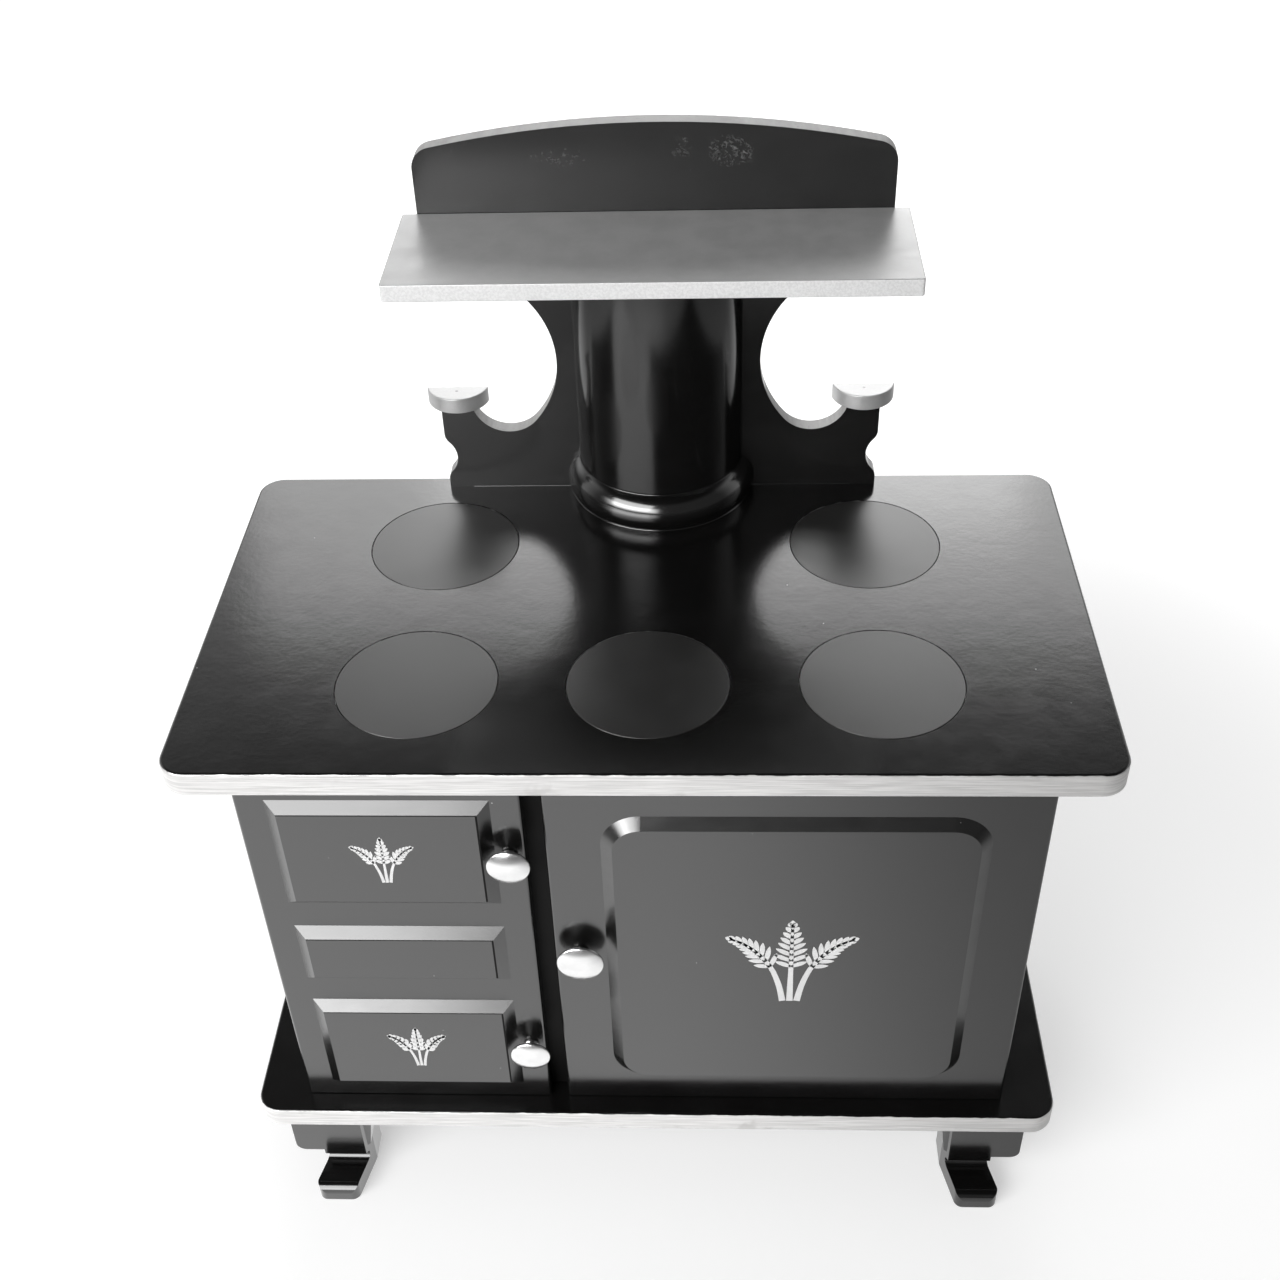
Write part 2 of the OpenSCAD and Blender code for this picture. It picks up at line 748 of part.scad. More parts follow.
module backboard_outline() {
    difference() {
        intersection() {
            translate([-backboard_w / 2, 0]) square([backboard_w, backboard_h]);
            translate([0, backboard_h - arch_r]) circle(arch_r, $fn = 240);
        }
        for (s = [0, 1]) mirror([s, 0]) {
            side_opening();
            foot_hollow();
            arch_corner();
        }
    }
}

module backboard() {
    color("#161616") difference() {
        translate([stack_x, back_edge, worktop_top])
            rotate([90, 0, 0]) linear_extrude(backboard_t) backboard_outline();
        at_backboard_screws() screw_hole(worktop_t + stack_screw_up);
        at_shelf_screws() screw_hole(backboard_t + cut);
        at_flue_screws() screw_hole(backboard_t + cut);
        at_corner_shelf_nails() nail(fastener_gap);
    }
}

// What stands in front of the backboard's face
module before_board() {
    intersection() {
        children();
        translate([stack_x - flue_r - collar_w - cut, board_face_y - 2 * flue_r, worktop_top - cut])
            cube([2 * (flue_r + collar_w + cut), 2 * flue_r, backboard_h]);
    }
}

module flue() {
    color("#161616") difference() {
        before_board() translate([stack_x, flue_y, worktop_top]) cylinder(h = shelf_z, r = flue_r, $fn = 128);
        at_flue_screws() screw_hole(backboard_t + rear_screw_in);
    }
}

// Half ring at the foot of the flue, its face one round that swells above the worktop
module flue_collar() {
    outer = flue_r + collar_w;
    inner = flue_r + collar_gap;
    rise = collar_h - collar_belly_z;
    round_r = (collar_w * collar_w + rise * rise) / (2 * collar_w);
    color("#161616") before_board() translate([stack_x, flue_y, worktop_top])
        rotate_extrude($fn = 128) intersection() {
            translate([outer - round_r, collar_belly_z]) circle(round_r);
            translate([inner, 0]) square([collar_w + cut, collar_h]);
        }
}

module warming_shelf() {
    color("silver") difference() {
        translate([stack_x, board_face_y - shelf_d / 2, worktop_top + shelf_z])
            eased_board(shelf_w, shelf_d, shelf_t, 1.2, 0.5);
        at_shelf_screws() screw_hole(backboard_t + rear_screw_in);
    }
}

// Half-round shelf on a horn, its straight edge flush with the back of the backboard
module corner_shelf(side) {
    x = stack_x + side * horn_x;
    difference() {
        intersection() {
            translate([x, back_edge + corner_shelf_sink, worktop_top + horn_h])
                rotate_extrude() eased_edge(corner_shelf_r, corner_shelf_t, 0.5);
            translate([x - corner_shelf_r, back_edge - corner_shelf_r, worktop_top])
                cube([2 * corner_shelf_r, corner_shelf_r, backboard_h]);
        }
        at_corner_shelf_nails() translate([0, 0, -cut])
            cylinder(h = corner_shelf_t + 2 * cut, d = nail_d + 2 * fastener_gap);
    }
}

module left_corner_shelf() { color("silver") corner_shelf(-1); }
module right_corner_shelf() { color("silver") corner_shelf(1); }

// ---------- legs ----------

// Side view of a front leg: x is the distance behind the edge of the base, y the height
module leg_profile() {
    knee_back = knee_setback + knee_d;
    nose = toe_t / 2;
    difference() {
        union() {
            translate([knee_setback, 0]) square([knee_d, leg_h]);
            translate([nose - toe_out, 0]) square([toe_out + knee_d / 2, toe_t]);
            translate([nose - toe_out, nose]) circle(nose);
            translate([-toe_out, 0]) square([nose, nose]);
        }
        translate([knee_setback, toe_t + cove_r]) circle(cove_r);
        translate([knee_back + heel_r - heel_hollow, toe_t / 2]) circle(heel_r);
    }
}

// Angle at which a line from a point touches a circle of radius r about c
function touch(p, c, r, side) =
    atan2(p[1] - c[1], p[0] - c[0]) + side * acos(r / norm(p - c));

// Plan of the foot, centred on the ankle: straight at the ankle, its round toe turned outwards
module foot_plan() {
    r = toe_round_r;
    w = foot_w / 2;
    in_c = [toe_turn - w + r, r - toe_out];
    out_c = [toe_turn + w - r, r - toe_out];
    in_a = touch([-w, ankle_y], in_c, r, 1);
    out_a = touch([w, ankle_y], out_c, r, -1);
    polygon([[-w, knee_setback + knee_d], [-w, ankle_y], in_c + r * [cos(in_a), sin(in_a)], in_c,
        [in_c[0], -toe_out], [out_c[0], -toe_out], out_c, out_c + r * [cos(out_a), sin(out_a)],
        [w, ankle_y], [w, knee_setback + knee_d]]);
    translate(in_c) circle(r);
    translate(out_c) circle(r);
}

// Front view of the knee: x from the middle of the leg outwards, y the height
module knee_front() {
    r = knee_corner_r;
    difference() {
        polygon([[-knee_w / 2, leg_h], [knee_taper - knee_w / 2, knee_bottom],
            [knee_w / 2, knee_bottom], [knee_w / 2, leg_h]]);
        difference() {
            translate([knee_w / 2 - r, knee_bottom - cut]) square([r + cut, r + cut]);
            translate([knee_w / 2 - r, knee_bottom + r]) circle(r);
        }
    }
}

// Plan of the knee: x from the middle of the leg outwards, y the distance behind the base's edge
module knee_plan() {
    r = knee_round_r;
    difference() {
        translate([-knee_w / 2, knee_setback]) square([knee_w, knee_d]);
        difference() {
            translate([-knee_w / 2 - cut, knee_setback - cut]) square([r + cut, r + cut]);
            translate([r - knee_w / 2, knee_setback + r]) circle(r);
        }
    }
}

// Front leg, its middle at x = 0 and outwards towards +X, y from the base's edge
module front_leg() {
    difference() {
        union() {
            translate([ankle_x, 0, 0]) intersection() {
                rotate([90, 0, 90]) linear_extrude(2 * foot_w, center = true) leg_profile();
                linear_extrude(leg_h - cut) foot_plan();
            }
            intersection() {
                linear_extrude(leg_h) knee_plan();
                translate([0, knee_setback + knee_d, 0])
                    rotate([90, 0, 0]) linear_extrude(knee_d) knee_front();
            }
        }
        translate([ankle_x, knee_setback + knee_d / 2, leg_h])
            dowel(leg_dowel_in_leg, cut, fastener_gap);
    }
}

// Leg at one corner: sx is -1 at the left, sy is -1 at the front
module leg(sx, sy) {
    color("#161616") scale([sx, -sy, 1]) translate([knee_x, front_edge, 0]) front_leg();
}

module leg_dowels() {
    color("#c9a878") at_leg_dowels() dowel(leg_dowel_in_leg, dowel_in_base);
}

// ---------- screws, dowels and nails ----------

module base_screws() { color("gray") at_base_screws() screw(base_t + base_screw_up); }
module worktop_dowels() { color("#c9a878") at_worktop_dowels() dowel(dowel_in_panel, dowel_in_board); }
module backboard_screws() { color("gray") at_backboard_screws() screw(worktop_t + stack_screw_up); }
module warming_shelf_screws() { color("gray") at_shelf_screws() screw(backboard_t + rear_screw_in); }
module flue_screws() { color("gray") at_flue_screws() screw(backboard_t + rear_screw_in); }
module back_panel_nails() { color("gray") at_back_nails() nail(); }
module corner_shelf_nails() { color("gray") at_corner_shelf_nails() nail(); }

base();
left_side();
right_side();
divider();
back_panel();
worktop();
for (i = [0:4])
    cooking_plate(i);
left_door();
oven_door();
upper_knob();
lower_knob();
oven_knob();
left_knob_screws();
oven_knob_screw();
left_hinge_pins();
oven_hinge_pins();
left_catch();
oven_catch();
left_strike();
oven_strike();
oven_shelf();
shelf_cleats();
backboard();
flue();
flue_collar();
warming_shelf();
left_corner_shelf();
right_corner_shelf();
leg(-1, -1);  // leg_front_left
leg(1, -1);  // leg_front_right
leg(-1, 1);  // leg_back_left
leg(1, 1);  // leg_back_right
leg_dowels();
base_screws();
worktop_dowels();
backboard_screws();
warming_shelf_screws();
flue_screws();
back_panel_nails();
corner_shelf_nails();
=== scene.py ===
"""Looks of a doll-size wooden cookstove: lacquers, silver paint, sprigs, knobs, screws and the studio."""
import math

import bmesh
import bpy
from mathutils import Matrix, Vector


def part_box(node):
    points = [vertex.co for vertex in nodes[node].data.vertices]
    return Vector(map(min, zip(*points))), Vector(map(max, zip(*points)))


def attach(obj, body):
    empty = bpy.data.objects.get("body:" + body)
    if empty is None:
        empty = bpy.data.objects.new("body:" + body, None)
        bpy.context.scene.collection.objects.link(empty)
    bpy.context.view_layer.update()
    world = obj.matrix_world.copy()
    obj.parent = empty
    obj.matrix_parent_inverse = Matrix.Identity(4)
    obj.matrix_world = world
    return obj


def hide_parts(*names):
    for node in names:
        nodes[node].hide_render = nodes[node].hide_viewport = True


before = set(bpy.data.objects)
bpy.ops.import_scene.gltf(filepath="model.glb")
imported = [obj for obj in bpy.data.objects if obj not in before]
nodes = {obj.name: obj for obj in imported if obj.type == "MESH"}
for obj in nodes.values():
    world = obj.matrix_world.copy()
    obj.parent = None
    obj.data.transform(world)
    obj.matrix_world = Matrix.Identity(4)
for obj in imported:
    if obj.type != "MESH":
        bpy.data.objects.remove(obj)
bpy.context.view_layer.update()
MM = 0.001


# ---------- paints and other finishes ----------

class Patterns:
    """Nodes of one material or of the studio's air, made and linked by short calls."""

    def __init__(self, owner):
        owner.use_nodes = True
        self.tree = owner.node_tree

    def set(self, node, inputs):
        """Puts each value on the input of that name or number; another node's output is linked to it."""
        for key, value in inputs.items():
            socket = node.inputs[key.replace("_", " ") if isinstance(key, str) else key]
            if isinstance(value, bpy.types.NodeSocket):
                self.tree.links.new(value, socket)
            else:
                socket.default_value = value

    def add(self, kind, inputs=None, **settings):
        """New node with its settings and inputs."""
        node = self.tree.nodes.new(kind)
        for key, value in settings.items():
            setattr(node, key, value)
        self.set(node, inputs or {})
        return node

    def ramp(self, value, low, high, out_low=0.0, out_high=1.0):
        """Soft step of a value: out_low up to low, out_high from high on."""
        return self.add("ShaderNodeMapRange", {
            "Value": value, "From Min": low, "From Max": high, "To Min": out_low, "To Max": out_high},
            interpolation_type="SMOOTHSTEP").outputs["Result"]

    def reckon(self, operation, a, b=0.0):
        """Arithmetic on two numbers or outputs."""
        return self.add("ShaderNodeMath", {0: a, 1: b}, operation=operation).outputs[0]

    def both(self, *masks):
        """Masks laid over each other: their product."""
        value = masks[0]
        for mask in masks[1:]:
            value = self.reckon("MULTIPLY", value, mask)
        return value

    def blend(self, mask, a, b):
        """Colour a where the mask is 0, colour b where it is 1."""
        return self.add("ShaderNodeMix", {0: mask, 6: a, 7: b}, data_type="RGBA").outputs[2]

    def between(self, mask, a, b):
        """Number a where the mask is 0, number b where it is 1."""
        return self.add("ShaderNodeMix", {0: mask, 2: a, 3: b}, data_type="FLOAT").outputs[0]

    def axis(self, source, name):
        """X, Y or Z of a vector."""
        return self.add("ShaderNodeSeparateXYZ", {0: source}).outputs[name]


class Finish(Patterns):
    """A procedural material: one Principled shader and the patterns that drive it, on Object coordinates."""

    def __init__(self, name, **shader):
        self.material = bpy.data.materials.new(name)
        super().__init__(self.material)
        self.shader = self.tree.nodes["Principled BSDF"]
        self.set(self.shader, shader)
        self.place = self.add("ShaderNodeTexCoord").outputs["Object"]
        self.normal = self.add("ShaderNodeTexCoord").outputs["Normal"]

    def stretched(self, scale):
        """Object coordinates in units of 1 / scale metres, a number or one for each axis."""
        scale = scale if isinstance(scale, tuple) else (scale,) * 3
        return self.add("ShaderNodeVectorMath", {0: self.place, 1: scale}, operation="MULTIPLY").outputs[0]

    def noise(self, scale, detail=2.0, rough=0.5, twist=0.0):
        """Cloudy pattern between 0 and 1."""
        return self.add("ShaderNodeTexNoise", {
            "Vector": self.stretched(scale), "Scale": 1.0, "Detail": detail, "Roughness": rough,
            "Distortion": twist}).outputs["Fac"]

    def cells(self, scale):
        """Grid of scattered cells: a colour of its own for each, and the distance to its middle."""
        return self.add("ShaderNodeTexVoronoi", {"Vector": self.stretched(scale), "Scale": 1.0}, feature="F1")

    def relief(self, *layers):
        """Bumps on top of each other; each layer is a height pattern and its real height in metres."""
        normal = None
        for height, depth in layers:
            inputs = {"Height": height, "Strength": 1.0, "Distance": depth}
            if normal:
                inputs["Normal"] = normal
            normal = self.add("ShaderNodeBump", inputs).outputs[0]
        self.set(self.shader, {"Normal": normal})

    def paint(self, *names):
        """Puts the finish on CAD nodes."""
        for name in names:
            slots = nodes[name].data.materials
            slots.clear()
            slots.append(self.material)


def grey(value, warm=1.0):
    """Grey colour, a little redder than blue where warm is over 1."""
    return (value * warm, value, value / warm, 1.0)


def dust(finish, scale, share):
    """Tiny round grains in a share of the cells of a coarse grid."""
    grain_out, grain_in = 0.035, 0.015
    cell = finish.cells(scale)
    chosen = finish.ramp(finish.axis(cell.outputs["Color"], "X"), 1 - share, 1 - share + 0.01)
    return finish.both(chosen, finish.ramp(cell.outputs["Distance"], grain_out, grain_in))


def black_lacquer(name, tone, rough, spread, peel, silver=None, dusty=(45.0, 0.02), rubbed=None, index=1.75):
    """Sprayed black lacquer with orange peel, handling marks and dust.

    spread is how far the roughness varies, peel the height of the orange peel, and dusty the scale and share
    of the grains. silver gives the painted edges, and rubbed the places worn dull.
    """
    dust_tone, dull_tone, dull_rough = 0.45, 0.16, 0.5
    short_wave, long_wave, brush_depth = 420.0, 95.0, 0.12 * MM
    finish = Finish(name, IOR=index)
    haze = finish.noise(14.0, detail=5.0, rough=0.65)
    rub = finish.noise((55.0, 55.0, 160.0), detail=4.0, rough=0.6)
    marks = finish.ramp(finish.both(haze, rub), 0.10, 0.45)
    roughness = finish.ramp(marks, 0.0, 1.0, rough - spread / 2, rough + spread / 2)
    colour = finish.blend(marks, grey(tone, 1.03), grey(tone * 1.3, 1.02))
    colour = finish.blend(dust(finish, *dusty), colour, grey(dust_tone))
    metal = 0.0
    if rubbed is not None:
        dull = rubbed(finish)
        colour = finish.blend(dull, colour, grey(dull_tone))
        roughness = finish.between(dull, roughness, dull_rough)
    layers = [(finish.noise(short_wave, detail=1.0), peel), (finish.noise(long_wave, detail=1.0), peel * 2.2)]
    if silver is not None:
        mask, tint, shine, matt = silver(finish)
        colour = finish.blend(mask, colour, tint)
        roughness = finish.between(mask, roughness, matt)
        metal = finish.reckon("MULTIPLY", mask, shine)
        brushed = finish.both(mask, finish.noise((60.0, 60.0, 1500.0), detail=3.0))
        layers.append((brushed, brush_depth))
    finish.set(finish.shader, {"Base Color": colour, "Roughness": roughness, "Metallic": metal})
    finish.relief(*layers)
    return finish


def silver_tint(finish, low, high):
    """Colour of hand-brushed silver paint: streaks along the edge and thin places."""
    streak = finish.noise((35.0, 35.0, 1100.0), detail=4.0, rough=0.6)
    patch = finish.noise(60.0, detail=3.0)
    tint = finish.blend(finish.ramp(streak, 0.3, 0.7), grey(low, 1.01), grey(high, 1.01))
    return finish.blend(finish.ramp(patch, 0.62, 0.75, 0.0, 0.5), tint, grey(low * 0.75, 1.02))


def band_on(top, thickness):
    """Silver edge band of a board, painted by hand just over its eased edges.

    What it returns gives a finish the band's mask, tint, metal and roughness.
    """
    waver, past_top, past_foot = 0.35 * MM, 0.35 * MM, 0.2 * MM
    def silver(finish):
        wave = finish.ramp(finish.noise((140.0, 140.0, 20.0), detail=3.0), 0.0, 1.0, -waver, waver)
        height = finish.reckon("ADD", finish.axis(finish.place, "Z"), wave)
        under = finish.ramp(height, top - past_top, top - past_top - 0.2 * MM)
        over = finish.ramp(height, top - thickness + past_foot, top - thickness + past_foot + 0.3 * MM)
        return finish.both(under, over), silver_tint(finish, 0.50, 0.70), 0.55, 0.36
    return silver


def sawn_edges(finish):
    """Silver on the backboard's arch and on the lower edges of its side openings, as band_on gives it."""
    middle_x, shelf_z, cut_top, cut_end, reach_x = 5 * MM, 456 * MM, 369 * MM, 362 * MM, 97 * MM
    across = finish.reckon("ABSOLUTE", finish.axis(finish.normal, "Y"))
    edge = finish.ramp(across, 0.7, 0.5)
    z = finish.axis(finish.place, "Z")
    out = finish.reckon("ABSOLUTE", finish.reckon("SUBTRACT", finish.axis(finish.place, "X"), middle_x))
    arch = finish.ramp(z, shelf_z, shelf_z + 2 * MM)
    wave = finish.ramp(finish.noise(300.0, detail=3.0), 0.0, 1.0, 0.0, 6 * MM)
    fade = finish.ramp(finish.reckon("ADD", z, wave), cut_top, cut_end)
    upward = finish.ramp(finish.axis(finish.normal, "Z"), 0.0, 0.15)
    cut = finish.both(fade, finish.ramp(out, reach_x, reach_x - 1 * MM), upward)
    worn = finish.ramp(finish.noise(700.0, detail=2.0), 0.25, 0.4, 0.72, 1.0)
    painted = finish.both(edge, finish.reckon("MAXIMUM", arch, cut), worn)
    return painted, silver_tint(finish, 0.26, 0.34), 0.1, 0.6


def rubbed_board(finish):
    """Where the face of the backboard is rubbed dull.

    Each place has its middle, half width and half height in mm, and how dull it is.
    """
    places = ((40, 484, 13, 9, 0.8), (18, 486, 6, 7, 0.4), (-38, 482, 17, 6, 0.35), (-88, 486, 7, 5, 0.2))
    x, z = (finish.axis(finish.place, name) for name in "XZ")
    scratches = finish.ramp(finish.noise((500.0, 1.0, 500.0), detail=5.0, rough=0.75, twist=0.8), 0.48, 0.72)
    total = 0.0
    for mid_x, mid_z, half_w, half_h, share in places:
        u = finish.reckon("DIVIDE", finish.reckon("SUBTRACT", x, mid_x * MM), half_w * MM)
        v = finish.reckon("DIVIDE", finish.reckon("SUBTRACT", z, mid_z * MM), half_h * MM)
        reach = finish.reckon("ADD", finish.both(u, u), finish.both(v, v))
        total = finish.reckon("ADD", finish.ramp(reach, 1.0, 0.15, 0.0, share), total)
    return finish.both(total, scratches)


def silver_paint(name, low, high, rough, metal, grain, edge=None):
    """Sprayed silver paint: fine flake, a soft mottle from low to high in tone, and a grain of some height.

    edge is a brighter tone on upright edges, a painted highlight standing in for the reflection they catch.
    """
    flake_depth = 0.006 * MM
    finish = Finish(name, Metallic=metal)
    flake = finish.noise(2600.0, detail=1.0)
    mottle = finish.noise(70.0, detail=4.0, rough=0.6)
    colour = finish.blend(finish.ramp(mottle, 0.3, 0.7), grey(low), grey(high))
    colour = finish.blend(finish.ramp(flake, 0.55, 0.75, 0.0, 0.35), colour, grey(min(high * 1.25, 0.95)))
    # Painted highlight: upright faces get a brighter tone in place of the bright reflection they catch.
    if edge is not None:
        upright = finish.ramp(finish.reckon("ABSOLUTE", finish.axis(finish.normal, "Z")), 0.7, 0.4)
        highlight_breakup = finish.ramp(finish.noise(900.0, detail=3.0, rough=0.7), 0.35, 0.65, 0.75, 1.0)
        colour = finish.blend(finish.both(upright, highlight_breakup), colour, grey(edge))
    roughness = finish.ramp(mottle, 0.2, 0.8, rough - 0.06, rough + 0.06)
    finish.set(finish.shader, {"Base Color": colour, "Roughness": roughness})
    finish.relief((flake, flake_depth), (finish.noise(480.0, detail=2.0), grain))
    return finish


def drawn_steel(name, low, high, rough):
    """Steel with fine drawing marks."""
    finish = Finish(name, Metallic=1.0)
    streak = finish.noise((900.0, 900.0, 60.0), detail=3.0)
    finish.set(finish.shader, {
        "Base Color": finish.blend(streak, grey(low), grey(high)),
        "Roughness": finish.ramp(streak, 0.2, 0.8, rough - 0.08, rough + 0.08)})
    finish.relief((streak, 0.008 * MM))
    return finish


def bare_hardwood():
    """Pale dowel wood: long grain and fine pores along Z."""
    finish = Finish("bare_hardwood")
    grain = finish.noise((260.0, 260.0, 22.0), detail=5.0, rough=0.65, twist=0.6)
    pores = finish.noise((1600.0, 1600.0, 90.0), detail=2.0)
    colour = finish.blend(grain, (0.50, 0.33, 0.18, 1.0), (0.68, 0.50, 0.31, 1.0))
    colour = finish.blend(finish.ramp(pores, 0.6, 0.75, 0.0, 0.6), colour, (0.30, 0.18, 0.09, 1.0))
    finish.set(finish.shader, {"Base Color": colour, "Roughness": finish.ramp(grain, 0.0, 1.0, 0.5, 0.68)})
    finish.relief((pores, 0.02 * MM), (grain, 0.04 * MM))
    return finish


def moulded_case():
    """Fine-textured dark plastic of the catches."""
    finish = Finish("moulded_case", Base_Color=(0.02, 0.02, 0.021, 1.0))
    texture = finish.noise(1800.0, detail=2.0)
    finish.set(finish.shader, {"Roughness": finish.ramp(texture, 0.3, 0.7, 0.42, 0.56)})
    finish.relief((texture, 0.01 * MM))
    return finish


WORKTOP_TOP, BASE_TOP, BOARD = 306.9 * MM, 67.7 * MM, 12.7 * MM
satin = black_lacquer("satin_black", tone=0.004, rough=0.21, spread=0.04, peel=0.003 * MM, dusty=(80.0, 0.25))
satin.paint("left_door", "oven_door", "left_side", "right_side", "back_panel", "oven_shelf", "shelf_cleats")
# thin is a dull black that hardly reflects: painted shade on the divider's recessed front and on the dark
# lines beside the left door's fields.
thin = black_lacquer("painted_shade_black", tone=0.004, rough=0.45, spread=0.10, peel=0.012 * MM, index=1.15)
thin.paint("divider")
gloss = black_lacquer("gloss_black", tone=0.0035, rough=0.15, spread=0.03, peel=0.003 * MM)
gloss.paint("flue", "flue_collar", "leg_front_left", "leg_front_right", "leg_back_left", "leg_back_right")
black_lacquer("worktop_black", tone=0.0035, rough=0.17, spread=0.03, peel=0.017 * MM,
              silver=band_on(WORKTOP_TOP, BOARD), dusty=(85.0, 0.45)).paint("worktop")
black_lacquer("base_black", tone=0.0035, rough=0.17, spread=0.03, peel=0.005 * MM,
              silver=band_on(BASE_TOP, BOARD)).paint("base")
black_lacquer("plate_black", tone=0.010, rough=0.36, spread=0.04, peel=0.004 * MM).paint(
    "plate_front_left", "plate_front_middle", "plate_front_right", "plate_back_left", "plate_back_right")
black_lacquer("backboard_black", tone=0.004, rough=0.24, spread=0.04, peel=0.004 * MM,
              silver=sawn_edges, dusty=(90.0, 0.14), rubbed=rubbed_board).paint("backboard")
# The warming shelf's upright edges get a painted highlight through edge.
silver_paint("shelf_silver", low=0.36, high=0.41, rough=0.40, metal=0.25, grain=0.010 * MM,
             edge=0.85).paint("warming_shelf")
silver_paint("corner_silver", low=0.44, high=0.52, rough=0.40, metal=0.4, grain=0.020 * MM).paint(
    "left_corner_shelf", "right_corner_shelf")
knob_silver = silver_paint("knob_silver", low=0.58, high=0.68, rough=0.20, metal=0.95, grain=0.006 * MM)
knob_silver.paint("upper_knob", "lower_knob", "oven_knob")
stencil = silver_paint("stencil_silver", low=0.66, high=0.74, rough=0.5, metal=0.25, grain=0.006 * MM)
screw_steel = drawn_steel("screw_steel", low=0.20, high=0.32, rough=0.40)
screw_steel.paint(
    "left_knob_screws", "oven_knob_screw", "base_screws", "backboard_screws", "warming_shelf_screws",
    "flue_screws", "back_panel_nails", "corner_shelf_nails")
drawn_steel("bright_steel", low=0.42, high=0.60, rough=0.34).paint(
    "left_hinge_pins", "oven_hinge_pins", "left_strike", "oven_strike")
bare_hardwood().paint("leg_dowels", "worktop_dowels")
moulded_case().paint("left_catch", "oven_catch")


# ---------- new pieces ----------

def turned(bm, verts, angle, axis):
    """Turns vertices about an axis through the origin."""
    bmesh.ops.rotate(bm, verts=verts, cent=(0, 0, 0), matrix=Matrix.Rotation(angle, 3, axis))


def spun(bm, geom, centre, axis, angle, steps):
    """Sweeps a profile round an axis; a full turn is merged at its seam."""
    bmesh.ops.spin(bm, geom=geom, cent=centre, axis=axis, angle=angle, steps=steps,
                   use_merge=angle == 2 * math.pi)


def finished(bm, name, finish, body, smooth=False):
    """Makes a closed piece of a bmesh, with its finish, body and slot; smooth keeps edges over 40 degrees."""
    bmesh.ops.remove_doubles(bm, verts=bm.verts, dist=1e-7)
    bmesh.ops.recalc_face_normals(bm, faces=bm.faces)
    if smooth:
        for face in bm.faces:
            face.smooth = True
        for edge in bm.edges:
            edge.smooth = edge.calc_face_angle(0.0) < math.radians(40)
    mesh = bpy.data.meshes.new(name)
    bm.to_mesh(mesh)
    bm.free()
    piece = bpy.data.objects.new(name, mesh)
    bpy.context.scene.collection.objects.link(piece)
    mesh.materials.append(finish.material)
    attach(piece, body)
    return piece


# ---------- sprigs painted on the doors ----------

def leaf(bm, root, angle, length, width):
    """Flat pointed leaf from root along angle, drawn lying down: x to the right, y up the door."""
    pinch = 0.55
    made = bmesh.ops.create_circle(bm, cap_ends=True, segments=18, radius=0.5)["verts"]
    for v in made:
        v.co.y *= 1 - pinch * max(0.0, v.co.x * 2) ** 3
    bmesh.ops.translate(bm, verts=made, vec=(0.5, 0, 0))
    bmesh.ops.scale(bm, verts=made, vec=(length, width, 1))
    turned(bm, made, angle, "Z")
    bmesh.ops.translate(bm, verts=made, vec=(root[0], root[1], 0))


def along(path, t):
    """Point and heading at share t of a smooth curve through a path's points."""
    last = len(path) - 1
    t = min(max(t, 0.0), 1.0) * last
    i = min(int(t), last - 1)
    a, b, c, d = (Vector(path[min(max(k, 0), last)]) for k in (i - 1, i, i + 1, i + 2))
    square, cube = 2 * a - 5 * b + 4 * c - d, 3 * b - a - 3 * c + d
    s = t - i
    at = 0.5 * ((2 * b) + (c - a) * s + square * s * s + cube * s ** 3)
    way = 0.5 * ((c - a) + 2 * square * s + 3 * cube * s * s)
    return at, math.atan2(way.y, way.x)


def ribbon(bm, path, width_foot, width_tip, steps=20):
    """Flat stalk along a path, extruded step by step from its foot."""
    at, heading = along(path, 0)
    side = Vector((-math.sin(heading), math.cos(heading)))
    pair = [bm.verts.new((*(at + s * side * width_foot / 2), 0)) for s in (-1, 1)]
    edge = bm.edges.new(pair)
    for i in range(1, steps + 1):
        at, heading = along(path, i / steps)
        side = Vector((-math.sin(heading), math.cos(heading)))
        half = (width_foot + (width_tip - width_foot) * i / steps) / 2
        made = bmesh.ops.extrude_edge_only(bm, edges=[edge])["geom"]
        edge = next(e for e in made if isinstance(e, bmesh.types.BMEdge))
        ends = sorted(edge.verts, key=lambda v: (v.co.xy - at).dot(side))
        for v, s in zip(ends, (-1, 1)):
            v.co = (*(at + s * side * half), 0)


